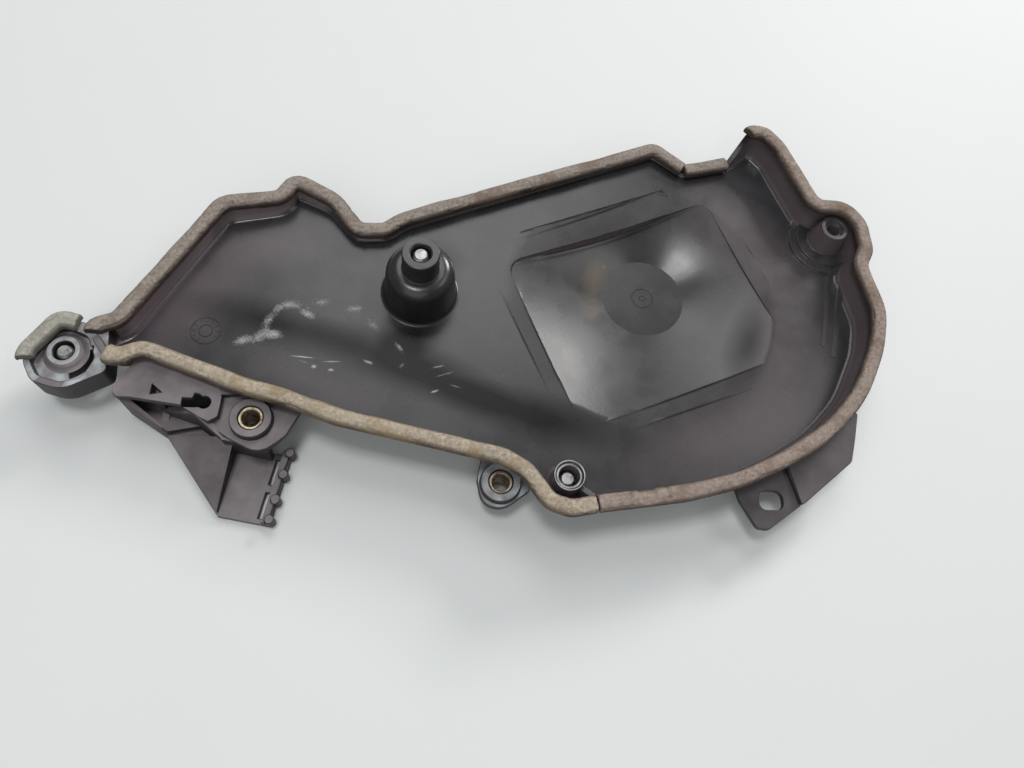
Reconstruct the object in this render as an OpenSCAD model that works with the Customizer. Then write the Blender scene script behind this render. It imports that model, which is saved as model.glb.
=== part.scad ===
// Timing belt cover, seen from its inner side: a shallow moulded tray with a stepped funnel,
// a bolt tower, an ear, a harness bracket, a tab and a foam seal round its rim.
// Millimetres, +Z towards the engine. The origin is on the axis of the bracket's sleeve,
// at the sleeve's engine-side end.

/* [Shell] */
// Thickness of the moulded floor
floor_t = 2.5; // [2:0.1:3.2]
// Thickness of the wall at the rim
wall_t = 2.5; // [2:0.1:3.2]
// Depth of the floor's inner face below the bracket sleeve's end
floor_drop = 6; // [5:0.5:7]
// Lean of the walls, sideways travel per unit of height
wall_lean = 0.2; // [0.1:0.02:0.26]
// Fillet between the wall and the floor, inside
inner_fillet = 2.5; // [1.5:0.25:3]
// Fillet between the wall and the floor, outside
outer_fillet = 4; // [2:0.5:5]

/* [Wide end] */
// Place of the wide end's middle from the bracket's sleeve, along x
wide_x = 152; // [144:0.5:160]
// Place of the wide end's middle from the bracket's sleeve, along y
wide_y = 63; // [60:0.5:66]

/* [Funnel] */
// Turn of the funnel's panel about Z
panel_turn = 22.8; // [20:0.2:26]
// Length of the inner panel
panel_l = 97.5; // [90:0.5:100]
// Width of the inner panel
panel_w = 79; // [72:0.5:82]
// Band between the inner and the outer panel, at the ends and the lower side
panel_band = 7; // [5:0.5:8]
// Band between the inner and the outer panel, at the upper side
panel_band_top = 12; // [9:0.5:13]
// Radius of both panels' corners
panel_corner = 7; // [4:0.5:10]
// Radius at which the funnel reaches the floor
funnel_r = 58.7; // [57:0.1:61]
// Depth of the flat disc below the floor
funnel_depth = 11; // [9:0.5:12]
// Depth the band would reach at the disc's edge
band_depth = 6.5; // [4:0.25:7]
// Radius of the flat disc
disc_r = 18; // [14:0.5:20]
// Shift of the disc from the funnel's middle, along x
disc_dx = 4; // [0:0.5:6]
// Shift of the disc from the funnel's middle, along y
disc_dy = 6.4; // [0:0.2:8]

/* [Tower] */
// Height of the tower above the floor
tower_h = 30; // [26:0.5:34]
// Radius of the tower's dome at the floor
dome_r = 14.5; // [13.5:0.25:16]
// Radius of the dome at its shoulder
shoulder_r = 13.5; // [13:0.25:14]
// Height of the shoulder's top above the floor
shoulder_h = 19.5; // [18:0.5:21]
// Rounding of the shoulder
shoulder_round = 5; // [4:0.25:5.5]
// Radius of the tower's neck
neck_r = 7.2; // [6.5:0.1:7.6]

/* [Fixings] */
// Thread diameter of the captive bolts
bolt_d = 6; // [5:0.5:6]
// Length of a captive bolt under its head
bolt_len = 14; // [13:0.5:15]
// Diameter of the bolt's flange
flange_d = 13; // [12:0.25:14]
// Thickness of the bolt's flange
flange_t = 1.4; // [1:0.1:1.8]
// Width across flats of the bolt's hexagon
hex_af = 8; // [8:0.5:10]
// Height of the hexagon above the flange
hex_h = 4.6; // [4:0.2:5]
// Clearance round a captive bolt, on the diameter
bolt_clear = 1.5; // [1:0.1:2]
// Outer diameter of the metal sleeves
sleeve_od = 9; // [8:0.1:9.5]
// Inner diameter of the metal sleeves
sleeve_id = 6.5; // [6.2:0.1:7]
// Length of the bracket's sleeve
sleeve_len = 14; // [12:0.5:16]
// Length of the lug's sleeve
lug_sleeve_len = 12; // [10:0.5:14]
// Clearance round a sleeve in its boss, on the diameter
sleeve_clear = 0.1; // [0:0.05:0.2]
// Diameter of the ring boss round a sleeve
ring_d = 15.2; // [14:0.2:16]
// Height of the ring boss above its plate
ring_proud = 3.2; // [2.5:0.1:4]
// Depth of a sleeve's end below the ring boss
sleeve_sunk = 0.6; // [0.2:0.1:1]
// Diameter of the plain bore in the corner boss
corner_bore_d = 5.4; // [5:0.1:6]

/* [Seals] */
// Width of the foam seal
seal_w = 6.4; // [5:0.1:7]
// Height of the foam seal
seal_h = 4; // [3:0.25:5]
// Reach of the ear's seal past its upper corner
ear_seal_reach = 4; // [2:0.5:5]
// Bond line between the foam and the rim
seal_bond = 0.1; // [0.05:0.05:0.3]

/* [Bracket and tab] */
// Depth of the bracket's shelf below the ring boss
shelf_t = 2.5; // [2:0.1:3]
// Height of the raised block above the lug plate
block_step = 3.6; // [3:0.1:4]
// Depth of the chute's sole below the bracket sleeve's end
sole_drop = 20.5; // [20.5:0.1:21]
// Thickness of the bracket's thin walls
rib_t = 2.2; // [1.8:0.1:2.6]
// Length of the slot in the tab
slot_l = 9.5; // [8:0.25:10]
// Width of the slot in the tab
slot_w = 7.5; // [6:0.25:8]

/* [Hidden] */
$fn = 64;
// Straight pieces in each rounded corner of an outline
arc_n = 4;
eps = 0.01;
// Direction in which both long sides of the tray run from the ear's corner to the far corner
cap_way = [cos(14), sin(14)];

floor_z = -floor_drop;
under_z = floor_z - floor_t;
disc_z = floor_z - funnel_depth;
bore_r = (bolt_d + bolt_clear) / 2;
seat_r = (sleeve_od + sleeve_clear) / 2;

wide_at = [wide_x, wide_y];

// Rim line, the middle of the wall's top edge, clockwise from the ear:
// x, y, corner radius, height of the wall above the floor
RIM_UPPER = [
    [-61, 31.5, 3, 8],
    [-51, 35, 6, 8],
    [-21.5, 89.5, 8, 7],
    [1.5, 95, 6, 6],
    [4.5, 104.5, 4, 5],
    [21.5, 97, 14, 4],
    [32.5, 83.5, 5, 3],
    [43, 84.5, 5, 3],
    [49.5, 90, 20, 3]
];
// Rim round the wide end, from the wide end's middle
RIM_WIDE = [
    [8, 74, 4, 2],
    [22, 64, 5.5, 1.5],
    [42, 69.5, 3, 1.5],
    [51, 80.5, 4, 12],
    [57, 79.5, 6, 12],
    [63, 72.5, 14, 12],
    [75, 42, 6, 12],
    [88.5, 42, 8, 12],
    [94.5, 34, 10, 12],
    [94.5, 21.5, 8, 12],
    [90.5, 14, 8, 12],
    [95, -9, 20, 12],
    [91.5, -23.5, 40, 12],
    [80, -46, 50, 12],
    [64.5, -62, 60, 12],
    [45, -74, 80, 12],
    [25, -83, 80, 12],
    [6, -88, 100, 12],
    [-27, -93, 20, 12],
    [-37, -95, 8, 12],
    [-44, -92, 8, 11],
    [-52, -81, 10, 11],
    [-61, -76, 12, 11]
];
RIM_LOWER = [
    [69, -8, 100, 10],
    [30, 0, 50, 10],
    [13.5, 6.5, 40, 9],
    [-3, 10.5, 60, 9],
    [-40.5, 24, 8, 9],
    [-46.5, 20, 5, 9],
    [-51.5, 19.5, 4, 9]
];
RIM = concat(RIM_UPPER, beside(RIM_WIDE, wide_at), RIM_LOWER);

// Outline of the ear, clockwise: x, y, corner radius
EAR = [
    [-72, 36, 6],
    [-54, 32, 3],
    [-52, 15, 3],
    [-66, 7, 10],
    [-77, 10, 6],
    [-82.5, 19.5, 7]
];
// Pocket of the ear, clockwise: x, y, corner radius
EAR_POCKET = [
    [-71.5, 32.5, 4],
    [-61, 28.5, 4],
    [-57, 20, 3],
    [-60, 12.5, 4],
    [-66.5, 10, 8],
    [-75.5, 12.5, 4],
    [-79.5, 19, 5]
];
// Outline of the bracket's lug plate, clockwise: x, y, corner radius
SHELF = [
    [-14, 16, 1],
    [-2.7, 12, 20],
    [13.5, 8, 20],
    [18, 6.5, 1],
    [12, -6, 8],
    [4, -13, 8],
    [-8, -7, 5],
    [-15, -2.5, 2]
];
// Outline of the bracket's raised block, clockwise: x, y, corner radius
BLOCK = [
    [-41, 25.5, 1],
    [-14, 16.5, 1],
    [-11, 7.5, 1.5],
    [-11.3, 0, 2],
    [-14.5, -2.5, 1.5],
    [-20.5, 1, 3],
    [-25, 3.5, 6],
    [-43.5, 5.8, 1],
    [-48, 5.5, 2],
    [-49.5, 9, 2],
    [-45.7, 15.5, 3]
];

tower_at = [58.5, 59];
funnel_at = wide_at + [-1.6, -0.9];
disc_at = funnel_at + [disc_dx, disc_dy];
panel_at = wide_at + [1.7, -4.8];
ear_at = [-68.4, 22.6];
ear_top = floor_z + RIM[0][3];
ear_low = ear_top - 11;
ear_seat = ear_low - 4;
boss_at = wide_at + [-36.3, -82.2];
boss_top = floor_z + 12;
boss_seat = boss_top - 18.5;
corner_at = wide_at + [83.5, 32.7];
corner_top = floor_z + 12;
lug_at = wide_at + [-60.2, -82.3];
lug_top = floor_z + 1;
tab_at = wide_at + [43.8, -86.3];
tab_top = floor_z + 1;

function xy(p) = [p[0], p[1]];
function beside(c, at) = [for (p = c) [p[0] + at[0], p[1] + at[1], p[2], p[3]]];
function before(c, i) = c[(i + len(c) - 1) % len(c)];
function after(c, i) = c[(i + 1) % len(c)];
function way(a, b) = (xy(b) - xy(a)) / norm(xy(b) - xy(a));
// Square to a direction, to the inside of a clockwise outline
function inside(v) = [v[1], -v[0]];
function miter(a, b) = (inside(a) + inside(b)) / (1 + a * b);
function turn(a, b) = atan2(a[0] * b[1] - a[1] * b[0], a * b);
function spin(v, t) = [v[0] * cos(t) - v[1] * sin(t), v[0] * sin(t) + v[1] * cos(t)];
function round_r(r, t, d) = max(t < 0 ? r - d : r + d, 0.4);
function corner_arc(p, a, b, r) =
    let (t = turn(a, b))
    let (s = p - a * r * tan(abs(t) / 2))
    let (c = s + (t < 0 ? r : -r) * inside(a))
    [for (k = [0 : arc_n]) c + spin(s - c, t * k / arc_n)];
// Rounded outline moved inwards by d[i] at each corner
function outline(c, d) = [
    for (i = [0 : len(c) - 1])
        let (a = way(before(c, i), c[i]), b = way(c[i], after(c, i)))
        each corner_arc(xy(c[i]) + d[i] * miter(a, b), a, b, round_r(c[i][2], turn(a, b), d[i]))
];
function same(c, d) = [for (p = c) d];
function at_corner(i, k = 0) = i * (arc_n + 1) + k;
function flat(c, d = 0) = outline(c, same(c, d));

// Ring of the shell: sideways place and height at each rim corner, as 3D points
function lift(c, d, z) =
    let (q = outline(c, d))
    [for (k = [0 : len(q) - 1]) [q[k][0], q[k][1], z[floor(k / (arc_n + 1))]]];
function heights(c) = [for (p = c) p[3]];
function in_r(h) = min(inner_fillet, 0.6 * h);
function out_r(h) = min(outer_fillet, 0.6 * (h + floor_t));
function out_d(h) = -wall_t / 2 + wall_lean * (h + floor_t - out_r(h));
function in_d(h) = wall_t / 2 + wall_lean * (h - in_r(h));
// Share of a fillet's radius left at its middle
mid = 1 - cos(45);

// Triangles that close a clockwise ring whose two sides both run one way from point a to point b
function cap(ring, a, b) =
    let (m = len(ring))
    let (far = [for (q = ring) xy(q) * cap_way])
    let (ahead = function(i, j) j - 1 < b - m || (i < b && far[i + 1] <= far[(j - 1 + m) % m]))
    [for (i = a, j = a - 1, up = ahead(a, a - 1); i - j < m - 1;
        i = up ? i + 1 : i, j = up ? j : j - 1, up = ahead(i, j))
        up ? [i, i + 1, (j + m) % m] : [i, (j - 1 + m) % m, (j + m) % m]];
function fan(m) = [for (k = [1 : m - 2]) [0, k, k + 1]];
function ring(at, r, z) = [for (k = [0 : $fn - 1]) [at[0] + r * sin(360 * k / $fn), at[1] + r * cos(360 * k / $fn), z]];
function moved(f, d) = [for (i = f) i + d];
function turned(f) = [f[0], f[2], f[1]];

// Closed skin through equal rings of points, with the same triangles at both ends
module skin(rings, ends) {
    m = len(rings[0]);
    n = len(rings);
    polyhedron(
        points = [for (r = rings) each r],
        faces = concat(
            [for (f = ends) turned(f)],
            [for (k = [0 : n - 2], i = [0 : m - 1])
                let (j = (i + 1) % m)
                each [[k * m + i, k * m + j, (k + 1) * m + j], [k * m + i, (k + 1) * m + j, (k + 1) * m + i]]],
            [for (f = ends) moved(f, (n - 1) * m)]
        ),
        convexity = 10
    );
}

// Tray: floor, leaning wall and rim in one skin
module tray() {
    hs = heights(RIM);
    foot = lift(RIM, [for (h = hs) in_d(h) + in_r(h)], [for (h = hs) floor_z]);
    skin([
        lift(RIM, [for (h = hs) out_d(h) + out_r(h)], [for (h = hs) under_z]),
        lift(RIM, [for (h = hs) out_d(h) + out_r(h) * mid], [for (h = hs) under_z + out_r(h) * mid]),
        lift(RIM, [for (h = hs) out_d(h)], [for (h = hs) under_z + out_r(h)]),
        lift(RIM, [for (h = hs) -wall_t / 2], [for (h = hs) floor_z + h]),
        lift(RIM, [for (h = hs) wall_t / 2], [for (h = hs) floor_z + h]),
        lift(RIM, [for (h = hs) in_d(h)], [for (h = hs) floor_z + in_r(h)]),
        lift(RIM, [for (h = hs) in_d(h) + in_r(h) * mid], [for (h = hs) floor_z + in_r(h) * mid]),
        foot
    ], cap(foot, at_corner(0, 2), at_corner(17, 2)));
}

module post(at, r, z0, z1, r1 = -1) {
    translate([at[0], at[1], z0])
        cylinder(r1 = r, r2 = r1 < 0 ? r : r1, h = z1 - z0);
}

module plate(c, z0, z1, d = 0) {
    translate([0, 0, z0])
        linear_extrude(z1 - z0)
            polygon(flat(c, d));
}

// Upright thin wall between two points, its top and bottom edges given at both ends
module web(a, b, top_a, top_b, low_a, low_b, t = rib_t) {
    l = norm(b - a);
    translate([a[0], a[1], 0])
        rotate([0, 0, atan2(b[1] - a[1], b[0] - a[0])])
            rotate([90, 0, 0])
                linear_extrude(t, center = true)
                    polygon([[0, low_a], [l, low_b], [l, top_b], [0, top_a]]);
}

// Rectangle of a funnel panel: half sizes grown by g and by g_top on the upper side
module panel(g, g_top, z0, z1) {
    l = panel_l / 2 + g;
    c = [[-l, panel_w / 2 + g_top, panel_corner], [l, panel_w / 2 + g_top, panel_corner],
        [l, -panel_w / 2 - g, panel_corner], [-l, -panel_w / 2 - g, panel_corner]];
    translate([panel_at[0], panel_at[1], 0])
        rotate([0, 0, panel_turn])
            plate(c, z0, z1);
}

// Room of a funnel from the floor to a depth at the disc's edge
module funnel(depth, drop, top) {
    skin([
        ring(disc_at, disc_r, floor_z - depth - drop),
        ring(funnel_at, funnel_r, floor_z - drop),
        ring(funnel_at, funnel_r, top)
    ], fan($fn));
}

module funnel_bulge() {
    top = floor_z - floor_t / 2;
    intersection() {
        funnel(band_depth, floor_t, top);
        panel(panel_band + floor_t, panel_band_top + floor_t, disc_z - 10, top + 1);
    }
    intersection() {
        funnel(funnel_depth, floor_t, top);
        panel(floor_t, floor_t, disc_z - 10, top + 1);
    }
}

module funnel_room() {
    top = floor_z + 0.5;
    intersection() {
        funnel(band_depth, 0, top);
        panel(panel_band, panel_band_top, disc_z - 10, top + 1);
    }
    intersection() {
        funnel(funnel_depth, 0, top);
        panel(0, 0, disc_z - 10, top + 1);
    }
}

module tower() {
    s = shoulder_round;
    translate([tower_at[0], tower_at[1], floor_z])
        rotate_extrude()
            polygon(concat(
                [[0, -floor_t / 2], [dome_r + 1.5, -floor_t / 2], [dome_r + 1.5, 0]],
                [for (k = [1 : 3]) [dome_r + 1.5 - 1.5 * sin(30 * k), 1.5 - 1.5 * cos(30 * k)]],
                [for (k = [0 : 6]) [shoulder_r - s + s * cos(15 * k), shoulder_h - s + s * sin(15 * k)]],
                [[neck_r, shoulder_h], [neck_r, tower_h - 0.5], [neck_r - 0.5, tower_h], [0, tower_h]]
            ));
}

tower_top = floor_z + tower_h;
tower_seat = tower_top - 1 - bolt_len;

module tower_room() {
    translate([tower_at[0], tower_at[1], 0])
        rotate_extrude()
            polygon([[0, under_z - 1], [dome_r - floor_t, under_z - 1], [dome_r - floor_t, floor_z],
                [shoulder_r - floor_t, tower_seat], [0, tower_seat]]);
    post(tower_at, bore_r, tower_seat - 1, tower_top + 1);
    post(tower_at, bore_r, tower_top - 0.8, tower_top + eps, bore_r + 0.8);
}

module ear() {
    plate(EAR, ear_low, ear_top);
    post(ear_at, flange_d / 2 + 1, ear_seat, ear_low + 1);
}

module ear_room() {
    difference() {
        plate(EAR_POCKET, ear_top - 3, ear_top + 1);
        post(ear_at, 8, ear_top - 3 - eps, ear_top - 0.5, 5.6);
    }
    difference() {
        plate(EAR_POCKET, ear_low - 1, ear_top - 5.5);
        post(ear_at, flange_d / 2 + 1, ear_seat - 1, ear_top - 2);
    }
    post(ear_at, bore_r, ear_seat - 1, ear_top + 1);
    translate([ear_at[0], ear_at[1], ear_low - 1])
        rotate([0, 0, -72])
            rotate_extrude(angle = 84)
                translate([8.4, 0])
                    square([1.9, 12]);
}

module boss() {
    post(boss_at, flange_d / 2 + 0.5, boss_seat, floor_z);
    post(boss_at, 8, floor_z - 1, floor_z + 4, 6);
    post(boss_at, 6, floor_z, boss_top);
    web(boss_at, boss_at + [9, -7], boss_top - 4, boss_top - 2, under_z + 1, under_z + 1);
}

module boss_room() {
    post(boss_at, bore_r, boss_seat - 1, boss_top + 1);
    post(boss_at, 5, boss_top - 1, boss_top + 1);
}

module corner_boss() {
    intersection() {
        union() {
            post(corner_at, 16, floor_z - 1, floor_z + 1.2);
            post(corner_at, 12.8, floor_z - 1, floor_z + 2.4);
        }
        plate(RIM, floor_z - 2, floor_z + 5, 4);
    }
    post(corner_at, 8.5, floor_z - 1, corner_top, 6);
    // two ribs that run out along the wall
    web(wide_at + [84.4, 19], wide_at + [75.8, -18.6], floor_z + 1.4, floor_z + 0.2, floor_z - 1, floor_z - 1, 1.6);
    web(wide_at + [90.5, 19], wide_at + [79.6, -23.5], floor_z + 1.4, floor_z + 0.2, floor_z - 1, floor_z - 1);
}

module corner_room() {
    post(corner_at, corner_bore_d / 2, under_z - 1, corner_top + 1);
    post(corner_at, 4, corner_top - 1.5, corner_top + 1);
}

lug_plate = lug_top - ring_proud;
lug_low = lug_top - sleeve_sunk - lug_sleeve_len;

module lug() {
    c = [[-67, -69, 1], [-56, -69, 1], [-48.5, -84.2, 1.5], [-59, -92.3, 8], [-67, -90, 6], [-69, -81, 3]];
    plate(beside(c, wide_at), lug_plate - 3, lug_plate);
    post(lug_at, ring_d / 2, lug_low, lug_top);
}

module lug_room() {
    post(lug_at, seat_r, lug_low - 1, lug_top + 1);
}

shelf_z = sleeve_sunk - ring_proud;
block_z = shelf_z + block_step;
sole_z = -sole_drop;
sole_t = 2.5;
sleeve_low = -sleeve_len;

module bracket() {
    plate(SHELF, shelf_z - shelf_t, shelf_z);
    post([0, 0], ring_d / 2, sleeve_low, sleeve_sunk);
    // raised block: top plate, end wall and side walls
    plate(BLOCK, block_z - shelf_t, block_z);
    web([-12.4, 15.5], [-12.6, 0], block_z - 1, block_z - 1, shelf_z - 1.5, shelf_z - 1.5);
    web([-40, 24], [-44.7, 15.6], block_z - 1, block_z - 1, -14, -18);
    web([-44.5, 16], [-48.2, 8.6], block_z - 1, block_z - 1, -17.6, -17.6);
    web([-48.6, 9.4], [-46, 6.6], block_z - 1, block_z - 1, -17.2, -17.2);
    web([-34, 21], [-34, 6], block_z - 1, block_z - 1, -14, -17.4);
    // pan that closes the block's hollow from below
    translate([0, 0, -16.4])
        linear_extrude(2)
            polygon([[-40, 23.5], [-44.6, 15.4], [-48, 8.8], [-46.2, 7], [-33, -1.5], [-19, 1.6], [-19, 17.5]]);
    // ramp from the block's top to the shelf, beside the rim
    skin([
        [[-13.9, 16.2, shelf_z - 1], [3, 10.8, shelf_z - 1], [-11.6, 8.2, shelf_z - 1]],
        [[-13.9, 16.2, block_z - eps], [3, 10.8, shelf_z + eps], [-11.6, 8.2, block_z - eps]]
    ], fan(3));
    // gusset down to the chute and the riser behind it
    web([-47, 7], [-33, -1.5], block_z - 1, -17, -18, sole_z);
    web([-34, 8], [-33.2, -1.5], -11, -17, -18, sole_z);
    web([-34.6, 6.6], [-19, 1.6], -12, block_z - 1, sole_z + 3, sole_z + 0.4);
    web([-20, 2], [-9, -6.4], block_z - 1, shelf_z - 1, sole_z + 0.4, sole_z + 0.4);
    web([-10, -6.2], [6.5, -9.3], shelf_z - 1, shelf_z - 1, sole_z + 0.4, sole_z + 0.4);
    chute();
}

// Sole of the chute with its sloping cheek and the hooked rail
module chute() {
    a = [11.5, -7];
    b = [6.2, -35];
    difference() {
        translate([0, 0, sole_z])
            linear_extrude(sole_t)
                polygon([[-34.5, -1], [-20, 3.2], [-10, -5], [13, -8.5], [7.6, -35.2], [-11.2, -32]]);
        for (k = [0.28, 0.74])
            translate([a[0] - 2.6 + (b[0] - a[0]) * k, a[1] + (b[1] - a[1]) * k, sole_z])
                rotate([0, 0, atan2(b[1] - a[1], b[0] - a[0])])
                    cube([10, 1.4, 8], center = true);
    }
    polyhedron(
        points = [[-33.5, -2, sole_z + 1], [-7, -5, sole_z + 1], [-11, -31, sole_z + 1],
            [-33.5, -2, sole_z + 3.5], [-7, -5, sole_z + 13], [-11, -31, sole_z + 4]],
        faces = [[0, 2, 1], [3, 4, 5], [0, 1, 4], [0, 4, 3], [1, 2, 5], [1, 5, 4], [2, 0, 3], [2, 3, 5]]
    );
    web(a, b, sole_z + 5, sole_z + 5, sole_z + 1, sole_z + 1, 2.4);
    for (k = [0.04, 0.34, 0.68, 0.95])
        post([a[0] + 1.6 + (b[0] - a[0]) * k, a[1] + (b[1] - a[1]) * k], 1.8, sole_z + 0.6, sole_z + 6.5);
}

module shelf_room() {
    post([0, 0], seat_r, sleeve_low - 1, sleeve_sunk + 1);
    // keyhole and three-cornered slot in the block
    translate([0, 0, block_z - shelf_t - 0.5])
        linear_extrude(shelf_t + 1) {
            polygon([[-36, 7.4], [-35.8, 11.2], [-32.2, 8.2]]);
            polygon([[-24.6, 2.8], [-24.6, 6.4], [-21, 6.4], [-20.4, 8.4], [-19, 8.2], [-17, 6.8], [-17, 3.6],
                [-20.6, 2.8]]);
            translate([-16.8, 5])
                circle(r = 2.3);
        }
}

// Slotted tab: a low plate with the slot and a raised corner plate behind a fold
module tab() {
    low = [[29, -77, 1], [51, -71, 1], [55.6, -88, 1], [41.5, -97.8, 3], [37, -97.2, 2.5], [31.5, -87, 2]];
    high = [[51, -71, 1], [76, -46, 1], [84, -50, 1], [81, -61, 10], [78, -70.5, 4], [55, -88.6, 1]];
    plate(beside(low, wide_at), tab_top - 2.5, tab_top);
    plate(beside(high, wide_at), tab_top, tab_top + 2.5);
    web(wide_at + [51.6, -72], wide_at + [55.6, -87.2], tab_top + 2, tab_top + 2, tab_top - 2, tab_top - 2, 2);
}

module tab_room() {
    translate([tab_at[0], tab_at[1], tab_top - 4])
        linear_extrude(6)
            polygon(flat([[-slot_l / 2, slot_w / 2, 2.8], [slot_l / 2, slot_w / 2, 2.8],
                [slot_l / 2, -slot_w / 2, 2.8], [-slot_l / 2, -slot_w / 2, 2.8]]));
}

// Tray with the funnel's bulge and the tower
module body() {
    tray();
    funnel_bulge();
    tower();
}

// What stands on the floor and round the rim
module fittings() {
    ear();
    boss();
    corner_boss();
    lug();
    bracket();
    tab();
}

module cover_shell() {
    color("#47454a")
        difference() {
            union() {
                body();
                fittings();
            }
            funnel_room();
            tower_room();
            ear_room();
            boss_room();
            corner_room();
            lug_room();
            shelf_room();
            tab_room();
        }
}

// Foam strip along a run of 3D points: rounded on top, flat where it is bonded
module strip(run) {
    w = seal_w / 2;
    section = [[-w, 0], [-w, 0.55 * seal_h], [-0.7 * w, 0.88 * seal_h], [0, seal_h],
        [0.7 * w, 0.88 * seal_h], [w, 0.55 * seal_h], [w, 0]];
    n = len(run) - 1;
    skin([
        for (k = [0 : n])
            let (a = way(run[max(k, 1) - 1], run[max(k, 1)]))
            let (b = way(run[min(k, n - 1)], run[min(k, n - 1) + 1]))
            let (m = miter(a, b))
            [for (s = section) [run[k][0] - m[0] * s[0], run[k][1] - m[1] * s[0], run[k][2] + seal_bond + s[1]]]
    ], fan(len(section)));
}

rim_run = lift(RIM, same(RIM, 0), [for (h = heights(RIM)) floor_z + h]);
function rim_part(a, b) = [for (k = [a : b]) rim_run[k]];

module seal_top() {
    color("#7b7063")
        strip(rim_part(at_corner(0, 1), at_corner(10, 1)));
}

module seal_notch() {
    color("#7b7063")
        strip(rim_part(at_corner(10, 3), at_corner(11, 1)));
}

module seal_right() {
    color("#7b6a60")
        strip(rim_part(at_corner(12), at_corner(27, 1)));
}

module seal_lower() {
    color("#9a8a74")
        strip(rim_part(at_corner(27, 3), at_corner(38, 3)));
}

module seal_ear() {
    run = [for (p = flat(EAR, wall_t / 2)) [p[0], p[1], ear_top]];
    n = len(run);
    ahead = way(run[arc_n], run[arc_n + 1]) * ear_seal_reach;
    color("#6f6b57")
        strip(concat([for (k = [n - arc_n : n + arc_n]) run[k % n]], [run[arc_n] + [ahead[0], ahead[1], 0]]));
}

module sleeve(at, top, l) {
    color("#b9a888")
        difference() {
            post(at, sleeve_od / 2, top - l, top);
            post(at, sleeve_id / 2, top - l - 1, top + 1);
        }
}

module sleeve_bracket() {
    sleeve([0, 0], 0, sleeve_len);
}

module sleeve_lug() {
    sleeve(lug_at, lug_top - sleeve_sunk, lug_sleeve_len);
}

// Flanged hexagon bolt, head downwards, its flange seated at a height
module bolt(at, seat) {
    color("#c9c9c6")
        translate([at[0], at[1], seat]) {
            cylinder(d = bolt_d, h = bolt_len - 0.8);
            translate([0, 0, bolt_len - 0.8])
                cylinder(d1 = bolt_d, d2 = bolt_d - 1.4, h = 0.8);
            translate([0, 0, -flange_t])
                cylinder(d = flange_d, h = flange_t);
            translate([0, 0, -flange_t - hex_h])
                cylinder(d = hex_af / cos(30), h = hex_h, $fn = 6);
        }
}

module bolt_tower() {
    bolt(tower_at, tower_seat);
}

module bolt_ear() {
    bolt(ear_at, ear_seat);
}

module bolt_boss() {
    bolt(boss_at, boss_seat);
}

cover_shell();
seal_top();
seal_notch();
seal_right();
seal_lower();
seal_ear();
sleeve_bracket();
sleeve_lug();
bolt_tower();
bolt_ear();
bolt_boss();
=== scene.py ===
"""Looks of a timing belt cover, lying on a pale table with its inner side up."""
import math

import bmesh
import bpy
from mathutils import Matrix, Vector, kdtree, noise


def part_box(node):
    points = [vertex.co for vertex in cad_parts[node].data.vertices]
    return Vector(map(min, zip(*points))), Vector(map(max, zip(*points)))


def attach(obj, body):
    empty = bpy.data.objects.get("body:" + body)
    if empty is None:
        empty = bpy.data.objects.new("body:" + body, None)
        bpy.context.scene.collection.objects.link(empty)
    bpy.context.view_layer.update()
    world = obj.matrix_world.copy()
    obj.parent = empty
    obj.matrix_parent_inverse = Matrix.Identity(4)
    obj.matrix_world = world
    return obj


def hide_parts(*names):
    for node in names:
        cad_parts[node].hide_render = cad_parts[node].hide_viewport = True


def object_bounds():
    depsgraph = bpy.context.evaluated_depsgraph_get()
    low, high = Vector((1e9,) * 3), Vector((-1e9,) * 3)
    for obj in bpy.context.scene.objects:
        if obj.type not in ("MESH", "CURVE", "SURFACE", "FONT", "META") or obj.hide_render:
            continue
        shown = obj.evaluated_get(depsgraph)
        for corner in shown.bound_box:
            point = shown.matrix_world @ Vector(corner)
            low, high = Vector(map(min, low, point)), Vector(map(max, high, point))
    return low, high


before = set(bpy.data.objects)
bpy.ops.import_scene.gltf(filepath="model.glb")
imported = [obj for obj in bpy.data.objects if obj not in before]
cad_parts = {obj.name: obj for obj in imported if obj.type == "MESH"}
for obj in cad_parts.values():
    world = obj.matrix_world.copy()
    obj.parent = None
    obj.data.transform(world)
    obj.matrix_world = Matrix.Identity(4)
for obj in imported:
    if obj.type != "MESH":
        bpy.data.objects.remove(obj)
cad_low, cad_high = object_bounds()
scene = bpy.context.scene

# The moulded shell: tray, funnel, tower, ear, bosses, bracket and tab in one piece of black
# glass-filled nylon. It comes from an injection tool, so its edges are slightly round, and the
# floor carries haze, dust and scratches from years beside the belt.

MM = 0.001
WELD = 0.002 * MM
FLAT_LIMIT = math.radians(0.2)
FOLD_LIMIT = math.radians(50)
EDGE_ROUND = 0.3 * MM
ROUNDING_TRIES = 6
ROUNDING_REACH = 1 * MM
# A triangle counts as folded over below this, which is twice its area in square metres
FOLDED_OVER = -1e-12
FLOOR_Z = -6 * MM
HEIGHT_SLACK = 0.1 * MM
FUNNEL_AT = Vector((150.4, 62.1)) * MM
FUNNEL_R = 62 * MM
FUNNEL_DEPTH = 11 * MM
FUNNEL_FOLD_LIMIT = math.radians(9)
DISC_AT = Vector((154.4, 68.5)) * MM
# Upward part of a face's normal on the funnel's slope, and on the gentler band around it
SLOPE_STEEPEST = 0.9
SLOPE_FLATTEST = 0.998
BAND_STEEPEST = 0.98
# Depths at which the slope is cut to be bowed, as shares of the funnel's depth
BOW_CUTS = (0.07, 0.2, 0.4, 0.6, 0.8)
CUT_SNAP = 0.01 * MM
FUNNEL_BOW = 0.45
# The slope is hollow towards this side, seen from above, and flared towards the other
HOLLOW_SIDE = Vector((-0.7, -0.7))
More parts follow.
